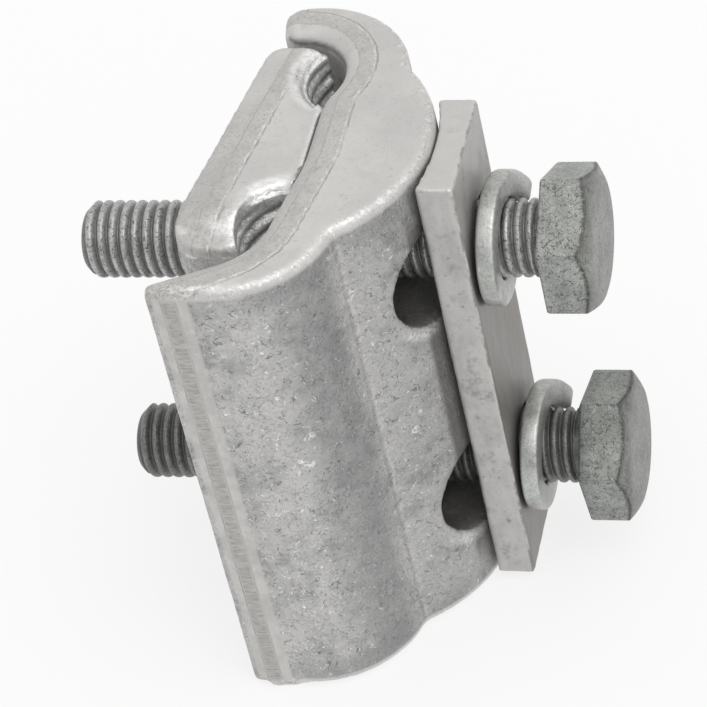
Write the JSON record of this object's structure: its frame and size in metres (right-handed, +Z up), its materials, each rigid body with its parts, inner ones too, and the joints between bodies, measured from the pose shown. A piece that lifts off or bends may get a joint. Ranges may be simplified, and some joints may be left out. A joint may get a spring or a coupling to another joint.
{
  "type": "parallel groove clamp",
  "caption": "Bolted aluminium clamp for overhead lines: a hooked outer jaw and a toothed inner jaw grip a conductor on each side, pressed by a hollowed plate.",
  "frame": {"origin": "on the plane of the clamp's lower end, under the middle of its bounding box", "axes": "+X along the bolts towards their heads, +Y across the clamp towards the hook, +Z up along the conductors"},
  "size_m": [0.0672, 0.0548, 0.0698],
  "materials": {
    "forged_aluminium": "shot-blasted forging, mottled light grey, rims rubbed bright",
    "drawn_aluminium": "drawn bar, smooth, faintly scratched along its length",
    "galvanised_steel": "hot-dip galvanised, dull greenish grey, slightly pitted"
  },
  "bodies": {
    "inner": {"inner_jaw": "forged_aluminium"},
    "plate": {"pressure_plate": "drawn_aluminium", "spring_washer_upper": "galvanised_steel", "spring_washer_lower": "galvanised_steel"},
    "outer": {"outer_jaw": "forged_aluminium"},
    "upper_bolt": {"bolt_upper": "galvanised_steel"},
    "lower_bolt": {"bolt_lower": "galvanised_steel"}
  },
  "joints": [
    {"name": "jaw_opening", "type": "slide", "parent": "inner", "child": "plate", "axis": [1, 0, 0], "range_m": [0, 0.0195]},
    {"name": "jaw_rocking", "type": "hinge", "parent": "plate", "child": "outer", "pos_m": [-0.00567, 0.0011, 0.0349], "axis": [0, 0, 1], "range_deg": [-1.5, 1.5]},
    {"name": "upper_bolt_turning", "type": "hinge", "parent": "plate", "child": "upper_bolt", "pos_m": [0.0188, 0.0011, 0.0529], "axis": [1, 0, 0], "range_deg": [0, 4680]},
    {"name": "lower_bolt_turning", "type": "hinge", "parent": "plate", "child": "lower_bolt", "pos_m": [0.0188, 0.0011, 0.0169], "axis": [1, 0, 0], "range_deg": [0, 4680]}
  ],
  "couplings": [
    {"joint": "upper_bolt_turning", "follows": "jaw_opening", "rad_per_m": 4188.8},
    {"joint": "lower_bolt_turning", "follows": "jaw_opening", "rad_per_m": 4188.8}
  ]
}
